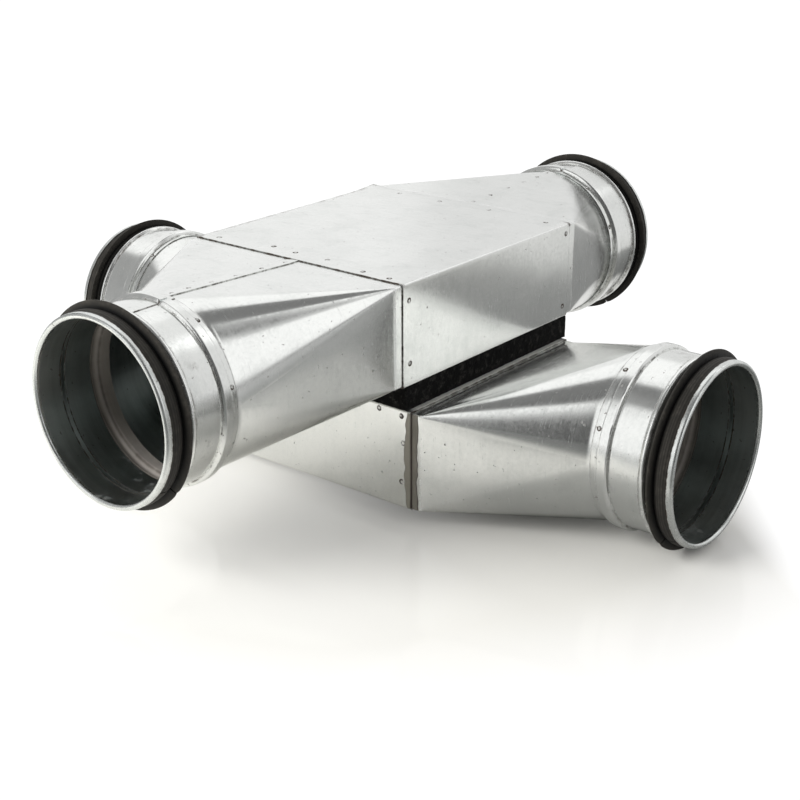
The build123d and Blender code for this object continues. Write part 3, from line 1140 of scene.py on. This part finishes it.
def galvanised_steel(colours):
    """Bright zinc: brushed round the duct, mottled, scuffed at bends and stained at welds; dull and painted darker
    inside the ducts, with painted shade along joints, seams, cut edges and creases, a painted highlight on one side
    of each spot weld and painted lightening on the transitions' base flats.
    """
    material, paint = new_paint("galvanised_steel")
    place = paint.place()
    grime_and_shade = paint.mark("grime_and_shade")
    scuff_and_highlight = paint.mark("scuff_and_highlight")
    inner = paint.mark("inner")
    brushed = paint.cloud(place, (60, 1900, 60), detail=2)
    streaks = paint.cloud(place, (9, 260, 9), detail=3, roughness=0.6)
    mottle = paint.cloud(place, (420, 420, 420), detail=3, roughness=0.65)
    blotch = paint.cloud(place, (24, 24, 24), detail=4, roughness=0.55)
    pits = paint.between(paint.cloud(place, (800, 800, 800), detail=1), 0.70, 0.78)
    rubbed = paint.between(paint.cloud(place, (150, 150, 150), detail=5, roughness=0.7), 0.40, 0.62)
    scratches = paint.between(paint.cloud(place, (22, 2600, 22), detail=1), 0.64, 0.72) * rubbed
    specks = paint.between(paint.cloud(place, (310, 310, 310), detail=2), 0.68, 0.74)
    # Dark mask: dirt and heat stains, and painted shade in joints, seams, cut edges, creases and hollows
    dirt_and_shade = paint.between(grime_and_shade * (0.55 + 0.9 * rubbed) + 0.4 * specks, 0.08, 0.75)
    # Rubbed wear, and the painted highlight beside each spot weld
    worn = scuff_and_highlight * (0.35 + 0.65 * rubbed)
    # Pale patch near the casing ends, and painted lightening of the transitions' base flats
    pale_and_highlight = paint.mark("pale_and_highlight") * (0.7 + 0.3 * rubbed)
    handled = paint.between(paint.cloud(place, (55, 55, 55), detail=5, roughness=0.65), 0.5, 0.68, 0.0, 0.26)
    dull = paint.between(0.25 * streaks + 0.75 * blotch, 0.38, 0.68, 0.0, 0.3)
    dull = dull + handled + 0.35 * pits + 0.5 * (mottle - 0.5) + 0.4 * scratches
    zinc = paint.mix(dull, rgba(colours.zinc), rgba(colours.zinc_dull))
    bright = paint.mix(worn, zinc, rgba(colours.zinc_worn_and_highlight))
    stained = paint.between(0.7 * blotch + 0.3 * streaks, 0.35, 0.7, 0.0, 0.7)
    lining = paint.mix(stained, rgba(colours.inside), rgba(colours.inside_dark))
    lined = paint.mix(inner, bright, lining)
    paled_and_highlighted = paint.mix(pale_and_highlight, lined, rgba(colours.pale_and_highlight))
    base = paint.mix(dirt_and_shade, paled_and_highlighted, rgba(colours.stain_and_shade))
    rough = 0.115 + 0.09 * blotch + 0.2 * (mottle - 0.4) + 0.09 * (brushed - 0.5) + 0.12 * scratches
    rough = rough + 0.16 * worn + 0.2 * inner + 0.3 * dirt_and_shade + 0.3 * pale_and_highlight
    height = 0.6 * brushed + 0.2 * mottle + 0.2 * pits
    paint.surface(
        {
            "Base Color": base,
            "Metallic": (1.0 - 0.8 * dirt_and_shade) * (1.0 - 0.3 * worn) * (1.0 - 0.9 * pale_and_highlight),
            "Roughness": rough,
            "Normal": paint.bump(height, 0.16, 0.04 * MM),
        }
    )
    return material


def gasket_rubber(colours):
    """Matt charcoal rubber with pale handling dust and painted shade in its hollows."""
    material, paint = new_paint("gasket_rubber")
    place = paint.place()
    grime_and_shade = paint.mark("grime_and_shade")
    fine = paint.cloud(place, (1500, 1500, 1500), detail=2)
    dust = paint.between(paint.cloud(place, (180, 180, 180), detail=5, roughness=0.7), 0.45, 0.75)
    pale = (0.18 + 0.38 * dust) * (1.0 - grime_and_shade)
    skin = paint.mix(pale, rgba(colours.rubber), rgba(colours.rubber_dust))
    # Near-black painted shade in the hollows: beside the ridge, round the lip's root and between the ribs
    base = paint.mix(grime_and_shade, skin, (0.004, 0.004, 0.004, 1))
    paint.surface(
        {
            "Base Color": base,
            "Roughness": 0.5 + 0.2 * dust + 0.08 * fine,
            "Specular IOR Level": 0.22,
            "Normal": paint.bump(fine, 0.25, 0.06 * MM),
        }
    )
    return material


def hand_sealant(colours):
    """Brown-grey sealant, smeared by hand, darker where it is thick or dirty, with painted shade at the edges of the
    bead's hollow and past the neck's end.
    """
    material, paint = new_paint("sealant")
    place = paint.place()
    grime_and_shade = paint.mark("grime_and_shade")
    smear = paint.cloud(place, (160, 160, 40), detail=4, roughness=0.6)
    fine = paint.cloud(place, (1100, 1100, 1100), detail=3)
    dark = paint.between(0.8 * grime_and_shade + 0.4 * smear, 0.25, 1.0)
    fresh = paint.mix(paint.mark("inner"), rgba(colours.sealant), rgba(colours.sealant_pale))
    paint.surface(
        {
            "Base Color": paint.mix(dark, fresh, rgba(colours.sealant_dark_and_shade)),
            "Roughness": 0.42 + 0.25 * smear,
            "Normal": paint.bump(0.6 * smear + 0.4 * fine, 0.35, 0.15 * MM),
        }
    )
    return material


def cellular_foam(colours):
    """Black foam with open cells on its cut sides."""
    material, paint = new_paint("foam")
    place = paint.place()
    depth = paint.mark("grime_and_shade")
    cells = paint.node(
        "ShaderNodeTexVoronoi", {"feature": "F1"}, {"Vector": paint.stretched(place, (900, 900, 900)), "Scale": 1.0}
    )
    patches = paint.between(paint.cloud(place, (170, 170, 170), detail=4, roughness=0.7), 0.48, 0.66)
    pale = patches * (1.0 - 0.8 * depth) * paint.between(cells, 0.1, 0.8, 1.0, 0.3)
    paint.surface(
        {
            "Base Color": paint.mix(pale, rgba(colours.foam), rgba(colours.foam_pale)),
            "Roughness": 0.82 + 0.12 * patches,
            "Specular IOR Level": 0.12,
            "Normal": paint.bump(cells, 0.6, 0.5 * MM),
        }
    )
    return material


def studio_floor(colours, right, toward_camera):
    """Pale floor, fading to white, with grey cards of painted shadow that only reflections see."""
    material, paint = new_paint("studio_floor")
    place = paint.place()
    cloud = paint.cloud(place, (2.5, 2.5, 2.5), detail=3)
    across = paint.dot(place, right)
    ahead = paint.dot(place, toward_camera)
    (near, near_end), (far, far_end) = RIGHT_SHADOW_CARD
    right_shadow_card = paint.between(across, near, near_end) * paint.between(across, far, far_end, 1.0, 0.0)
    front_shadow_card = paint.between(ahead + FRONT_SHADOW_CARD_SKEW * across, *FRONT_SHADOW_CARD)
    reflected = paint.node("ShaderNodeLightPath", output="Is Glossy Ray")
    (left, left_end), (front, front_end), darkest = NEAR_SHADE
    beside = paint.between(paint.dot(place, (1, 0, 0)), left, left_end)
    near_shade = darkest * (beside * paint.between(paint.dot(place, (0, 1, 0)), front, front_end))
    shadow_card = reflected * paint.brighter(near_shade, paint.brighter(right_shadow_card, front_shadow_card))
    away = paint.node("ShaderNodeVectorMath", {"operation": "LENGTH"}, {0: place}, output="Value")
    far_off = paint.between(away, *FLOOR_REFLECTED_FADE)
    pale = paint.mix(far_off, rgba(colours.floor), rgba(colours.floor_bright))
    seen = paint.node("ShaderNodeLightPath", output="Is Camera Ray")
    base = paint.mix(shadow_card, paint.mix(seen, pale, rgba(colours.floor_bright)), rgba(colours.shadow_card))
    sheen = {"Coat Weight": 0.7, "Coat Roughness": 0.04}
    paper = paint.node(
        "ShaderNodeBsdfPrincipled", {}, {"Base Color": base, "Roughness": 0.5 + 0.1 * cloud, **sheen}
    )
    white = paint.node("ShaderNodeEmission", {}, {"Color": (1, 1, 1, 1), "Strength": 1.08})
    least = paint.between(across, *SHADOW_LIFT_FADE, *SHADOW_LIFT)
    lift = paint.brighter(least, paint.between(away, *FLOOR_FADE))
    lift = paint.brighter(lift, paint.between(across, *FLOOR_RIGHT_FADE))
    lift = paint.brighter(lift, paint.between(ahead, *FLOOR_REAR_FADE, 1.0, 0.0))
    (rear, rear_end), glow = REAR_GLOW
    glow = glow * (paint.between(ahead, rear, rear_end, 1.0, 0.0) * (1.0 - right_shadow_card))
    shown = paint.node("ShaderNodeMixShader", {}, {0: seen * lift + reflected * glow, 1: paper, 2: white})
    paint.node("ShaderNodeOutputMaterial", {}, {"Surface": shown})
    return material


def studio_surround(studio, toward_camera, right):
    """Dim studio with a pale backdrop behind the fitting, a high panel over it and a soft panel on each side."""
    world = bpy.data.worlds.get("studio_surround") or bpy.data.worlds.new("studio_surround")
    world.use_nodes = True
    bpy.context.scene.world = world
    paint = Paint(world.node_tree)
    direction = paint.node("ShaderNodeTexCoord", output="Generated")
    height = paint.node("ShaderNodeSeparateXYZ", {}, {0: direction}, output="Z")
    lift = paint.node("ShaderNodeMath", {"operation": "ARCSINE"}, {0: height})
    behind = -1.0 * paint.dot(direction, toward_camera)
    bearing = paint.node("ShaderNodeMath", {"operation": "ARCTAN2"}, {0: paint.dot(direction, right), 1: behind})
    light = ROOM_LEVEL
    for *edges, level, soft in PANELS:
        first, last, low, high = (math.radians(edge) for edge in edges)
        fade = math.radians(soft)
        wide = paint.between(bearing, first - fade, first + fade)
        wide = wide * paint.between(bearing, last - fade, last + fade, 1.0, 0.0)
        tall = paint.between(lift, low - fade, low + fade)
        tall = tall * paint.between(lift, high - fade, high + fade, 1.0, 0.0)
        light = paint.brighter(light, level * (wide * tall))
    seen = paint.node("ShaderNodeLightPath", output="Is Camera Ray")
    strength = (light * (1.0 - seen) + 1.05 * seen) * studio.sky
    background = paint.node("ShaderNodeBackground", {}, {"Color": (1, 1, 1, 1), "Strength": strength})
    paint.node("ShaderNodeOutputWorld", {}, {"Surface": background})


def camera_axes(studio):
    """Right, up and back directions of the camera."""
    azimuth = studio.azimuth
    level = math.cos(studio.elevation)
    back = Vector((math.sin(azimuth) * level, -math.cos(azimuth) * level, math.sin(studio.elevation)))
    right = Vector((math.cos(azimuth), math.sin(azimuth), 0))
    up = back.cross(right)
    turn = studio.roll
    rolled_right = right * math.cos(turn) + up * math.sin(turn)
    rolled_up = up * math.cos(turn) - right * math.sin(turn)
    return rolled_right, rolled_up, back


def place_camera(studio):
    right, up, back = camera_axes(studio)
    lens = bpy.data.cameras.new("camera")
    lens.sensor_width = 36
    lens.lens = studio.lens
    lens.clip_start = 0.01
    camera = bpy.data.objects.new("camera", lens)
    bpy.context.collection.objects.link(camera)
    turn = Matrix((right, up, back)).transposed().to_4x4()
    camera.matrix_world = Matrix.Translation(Vector(studio.target) + back * studio.distance) @ turn
    bpy.context.scene.camera = camera


def place_lamp(studio, colours):
    """Large soft lamp on the left, which leaves the floor beyond the fitting in its shadow."""
    light = bpy.data.lights.new("large_lamp", "AREA")
    light.shape = "RECTANGLE"
    light.size = 0.9
    light.size_y = 0.9
    light.energy = studio.lamp_power
    light.color = colours.lamp
    lamp = bpy.data.objects.new("large_lamp", light)
    bpy.context.collection.objects.link(lamp)
    lamp.visible_glossy = False
    lamp.location = (-0.565, -1.325, 0.9)
    lamp.rotation_euler = (Vector((0, 0, 0)) - lamp.location).to_track_quat("-Z", "Y").to_euler()


def place_floor(studio, material):
    size = studio.floor_size
    mesh = bpy.data.meshes.new("studio_floor")
    form = bmesh.new()
    bmesh.ops.create_grid(form, x_segments=8, y_segments=8, size=size / 2)
    form.to_mesh(mesh)
    form.free()
    mesh.materials.append(material)
    floor = bpy.data.objects.new("studio_floor", mesh)
    bpy.context.collection.objects.link(floor)


class DUCT_OT_casings(Operator):
    """Fold the two flat casings"""

    bl_idname = "duct.casings"
    bl_label = "Casings"

    def execute(self, context):
        duct = Duct(context.scene.duct_sizes)
        material = galvanised_steel(context.scene.duct_colours)
        make_casing(duct, "upper_casing", False, material)
        make_casing(duct, "lower_casing", True, material)
        return {"FINISHED"}


class DUCT_OT_transitions(Operator):
    """Form the four square-to-round transitions"""

    bl_idname = "duct.transitions"
    bl_label = "Transitions"

    def execute(self, context):
        duct = Duct(context.scene.duct_sizes)
        material = galvanised_steel(context.scene.duct_colours)
        for end in ENDS:
            make_transition(duct, end, material)
        return {"FINISHED"}


class DUCT_OT_collars(Operator):
    """Roll the four round collars"""

    bl_idname = "duct.collars"
    bl_label = "Collars"

    def execute(self, context):
        duct = Duct(context.scene.duct_sizes)
        material = galvanised_steel(context.scene.duct_colours)
        for end in ENDS:
            make_collar(duct, end, material)
        return {"FINISHED"}


class DUCT_OT_gaskets(Operator):
    """Lay the four lip gaskets in their seats"""

    bl_idname = "duct.gaskets"
    bl_label = "Gaskets"

    def execute(self, context):
        duct = Duct(context.scene.duct_sizes)
        material = gasket_rubber(context.scene.duct_colours)
        for end in ENDS:
            make_gasket(duct, end, material)
        return {"FINISHED"}


class DUCT_OT_sealant(Operator):
    """Smear sealant into the necks and down one joint"""

    bl_idname = "duct.sealant"
    bl_label = "Sealant"

    def execute(self, context):
        duct = Duct(context.scene.duct_sizes)
        material = hand_sealant(context.scene.duct_colours)
        for end in ENDS:
            make_sealant_ring(duct, end, material)
        make_joint_strip(duct, material)
        return {"FINISHED"}


class DUCT_OT_foam(Operator):
    """Cut the foam pad between the casings"""

    bl_idname = "duct.foam"
    bl_label = "Foam pad"

    def execute(self, context):
        make_foam(Duct(context.scene.duct_sizes), cellular_foam(context.scene.duct_colours))
        return {"FINISHED"}


class DUCT_OT_stage(Operator):
    """Set up the floor, the light and the camera"""

    bl_idname = "duct.stage"
    bl_label = "Stage"

    def execute(self, context):
        studio = context.scene.duct_studio
        colours = context.scene.duct_colours
        right, up, back = camera_axes(studio)
        toward_camera = Vector((back.x, back.y, 0)).normalized()
        place_floor(studio, studio_floor(colours, right, toward_camera))
        place_lamp(studio, colours)
        place_camera(studio)
        studio_surround(studio, toward_camera, right)
        context.scene.view_settings.view_transform = "Standard"
        return {"FINISHED"}


OPERATORS = (
    DUCT_OT_casings,
    DUCT_OT_transitions,
    DUCT_OT_collars,
    DUCT_OT_gaskets,
    DUCT_OT_sealant,
    DUCT_OT_foam,
    DUCT_OT_stage,
)


class VIEW3D_PT_duct(Panel):
    """Pieces of the fitting, with their sizes and colours"""

    bl_idname = "VIEW3D_PT_duct"
    bl_label = "Duct crossover"
    bl_space_type = "VIEW_3D"
    bl_region_type = "UI"
    bl_category = "Duct"

    def draw(self, context):
        for operator in OPERATORS:
            self.layout.operator(operator.bl_idname)
        for group in (context.scene.duct_sizes, context.scene.duct_colours, context.scene.duct_studio):
            column = self.layout.column()
            for name in group.__annotations__:
                column.prop(group, name)


GROUPS = {"duct_sizes": DuctSizes, "duct_colours": DuctColours, "duct_studio": DuctStudio}


def register():
    for group in GROUPS.values():
        bpy.utils.register_class(group)
    for name, group in GROUPS.items():
        setattr(bpy.types.Scene, name, PointerProperty(type=group))
    for operator in OPERATORS:
        bpy.utils.register_class(operator)
    bpy.utils.register_class(VIEW3D_PT_duct)


def unregister():
    bpy.utils.unregister_class(VIEW3D_PT_duct)
    for operator in reversed(OPERATORS):
        bpy.utils.unregister_class(operator)
    for name in GROUPS:
        delattr(bpy.types.Scene, name)
    for group in reversed(list(GROUPS.values())):
        bpy.utils.unregister_class(group)


def main():
    register()
    bpy.ops.duct.casings()
    bpy.ops.duct.transitions()
    bpy.ops.duct.collars()
    bpy.ops.duct.gaskets()
    bpy.ops.duct.sealant()
    bpy.ops.duct.foam()
    bpy.ops.duct.stage()


if __name__ == "__main__":
    main()
